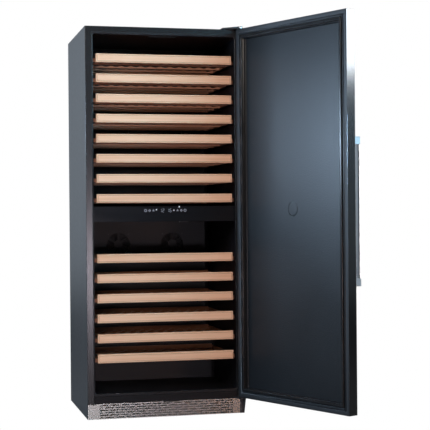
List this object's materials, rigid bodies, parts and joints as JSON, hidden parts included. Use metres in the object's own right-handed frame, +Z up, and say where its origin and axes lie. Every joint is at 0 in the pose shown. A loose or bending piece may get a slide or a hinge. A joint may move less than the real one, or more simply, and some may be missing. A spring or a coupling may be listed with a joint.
{
  "type": "wine cooler",
  "caption": "Tall free-standing wine cooler with two cooled zones, pull-out bottle shelves, a control strip between the zones and a side-hinged door with a bar handle",
  "frame": {"origin": "On the floor under the middle of the cabinet's footprint", "axes": "+Z up, -Y out of the open front of the cabinet, +X to the right as seen from in front, where the door is hinged"},
  "size_m": [1.0453, 1.2655, 1.7435],
  "materials": {
    "painted_steel": "satin dark grey paint on sheet steel",
    "galvanised": "plain zinc-coated sheet steel",
    "stainless": "brushed stainless steel",
    "dark_plastic": "fine-grained satin black moulding",
    "fan_plastic": "plain black moulding",
    "black_metal": "black powder coat",
    "zinc": "bright zinc plate",
    "panel_glass": "glossy dark fascia with a lit display behind it",
    "board": "green circuit board",
    "lamp": "clear frosted lamp cover",
    "foam": "rigid foam, hidden",
    "rubber": "soft satin black seal",
    "aluminium_fins": "plain fins and tubes",
    "beech": "oiled pale hardwood with light grain"
  },
  "bodies": {
    "cabinet": {"back_panel": "galvanised", "base_pan": "galvanised", "bottom_hinge_bracket": "black_metal", "cabinet_screws": "zinc", "cable_gland": "dark_plastic", "compartment_bulkhead": "galvanised", "compressor": "black_metal", "compressor_grommets": "rubber", "condenser": "black_metal", "control_board": "board", "control_panel": "panel_glass", "divider_shell": "dark_plastic", "drip_tray": "dark_plastic", "duct_cover_lower": "dark_plastic", "duct_cover_upper": "dark_plastic", "evaporator_lower": "aluminium_fins", "evaporator_upper": "aluminium_fins", "fan_housings": "fan_plastic", "hinge_pins": "zinc", "inner_liner": "dark_plastic", "insulation_foam": "foam", "kick_plate": "stainless", "levelling_feet": "zinc", "lower_front_rail": "dark_plastic", "rear_cover": "galvanised", "shelf_runners_left": "dark_plastic", "shelf_runners_right": "dark_plastic", "side_panel_left": "painted_steel", "side_panel_right": "painted_steel", "top_hinge_bracket": "black_metal", "top_hinge_cover": "black_metal", "top_panel": "painted_steel", "zone_lamps": "lamp"},
    "door": {"door_foam": "foam", "door_gasket": "rubber", "door_liner": "dark_plastic", "door_plug": "dark_plastic", "door_skin": "stainless", "handle_bar": "stainless", "handle_posts": "stainless", "hinge_bushes": "dark_plastic"},
    "shelf_01": {"shelf_01": "beech"},
    "shelf_02": {"shelf_02": "beech"},
    "shelf_03": {"shelf_03": "beech"},
    "shelf_04": {"shelf_04": "beech"},
    "shelf_05": {"shelf_05": "beech"},
    "shelf_06": {"shelf_06": "beech"},
    "shelf_07": {"shelf_07": "beech"},
    "shelf_08": {"shelf_08": "beech"},
    "shelf_09": {"shelf_09": "beech"},
    "shelf_10": {"shelf_10": "beech"},
    "shelf_11": {"shelf_11": "beech"},
    "shelf_12": {"shelf_12": "beech"},
    "shelf_13": {"shelf_13": "beech"},
    "shelf_14": {"shelf_14": "beech"},
    "fan_condenser": {"fan_rotor_condenser": "fan_plastic"},
    "fan_lower_left": {"fan_rotor_lower_left": "fan_plastic"},
    "fan_lower_right": {"fan_rotor_lower_right": "fan_plastic"},
    "fan_upper_left": {"fan_rotor_upper_left": "fan_plastic"},
    "fan_upper_right": {"fan_rotor_upper_right": "fan_plastic"}
  },
  "joints": [
    {"name": "door_hinge", "type": "hinge", "parent": "cabinet", "child": "door", "pos_m": [0.342, -0.323, 0.082], "axis": [0, 0, 1], "range_deg": [-114.5, 5.5]},
    {"name": "shelf_01_slide", "type": "slide", "parent": "cabinet", "child": "shelf_01", "axis": [0, -1, 0], "range_m": [0, 0.35]},
    {"name": "shelf_02_slide", "type": "slide", "parent": "cabinet", "child": "shelf_02", "axis": [0, -1, 0], "range_m": [0, 0.35]},
    {"name": "shelf_03_slide", "type": "slide", "parent": "cabinet", "child": "shelf_03", "axis": [0, -1, 0], "range_m": [0, 0.35]},
    {"name": "shelf_04_slide", "type": "slide", "parent": "cabinet", "child": "shelf_04", "axis": [0, -1, 0], "range_m": [0, 0.35]},
    {"name": "shelf_05_slide", "type": "slide", "parent": "cabinet", "child": "shelf_05", "axis": [0, -1, 0], "range_m": [0, 0.35]},
    {"name": "shelf_06_slide", "type": "slide", "parent": "cabinet", "child": "shelf_06", "axis": [0, -1, 0], "range_m": [0, 0.35]},
    {"name": "shelf_07_slide", "type": "slide", "parent": "cabinet", "child": "shelf_07", "axis": [0, -1, 0], "range_m": [0, 0.35]},
    {"name": "shelf_08_slide", "type": "slide", "parent": "cabinet", "child": "shelf_08", "axis": [0, -1, 0], "range_m": [0, 0.35]},
    {"name": "shelf_09_slide", "type": "slide", "parent": "cabinet", "child": "shelf_09", "axis": [0, -1, 0], "range_m": [0, 0.35]},
    {"name": "shelf_10_slide", "type": "slide", "parent": "cabinet", "child": "shelf_10", "axis": [0, -1, 0], "range_m": [0, 0.35]},
    {"name": "shelf_11_slide", "type": "slide", "parent": "cabinet", "child": "shelf_11", "axis": [0, -1, 0], "range_m": [0, 0.35]},
    {"name": "shelf_12_slide", "type": "slide", "parent": "cabinet", "child": "shelf_12", "axis": [0, -1, 0], "range_m": [0, 0.35]},
    {"name": "shelf_13_slide", "type": "slide", "parent": "cabinet", "child": "shelf_13", "axis": [0, -1, 0], "range_m": [0, 0.35]},
    {"name": "shelf_14_slide", "type": "slide", "parent": "cabinet", "child": "shelf_14", "axis": [0, -1, 0], "range_m": [0, 0.3]},
    {"name": "fan_upper_left_spin", "type": "hinge", "parent": "cabinet", "child": "fan_upper_left", "pos_m": [-0.1315, 0.203, 1.3], "axis": [0, 1, 0], "continuous": true},
    {"name": "fan_upper_right_spin", "type": "hinge", "parent": "cabinet", "child": "fan_upper_right", "pos_m": [0.1315, 0.203, 1.3], "axis": [0, 1, 0], "continuous": true},
    {"name": "fan_lower_left_spin", "type": "hinge", "parent": "cabinet", "child": "fan_lower_left", "pos_m": [-0.1315, 0.203, 0.76], "axis": [0, 1, 0], "continuous": true},
    {"name": "fan_lower_right_spin", "type": "hinge", "parent": "cabinet", "child": "fan_lower_right", "pos_m": [0.1315, 0.203, 0.76], "axis": [0, 1, 0], "continuous": true},
    {"name": "fan_condenser_spin", "type": "hinge", "parent": "cabinet", "child": "fan_condenser", "pos_m": [0.03, 0.227, 0.092], "axis": [1, 0, 0], "continuous": true}
  ]
}
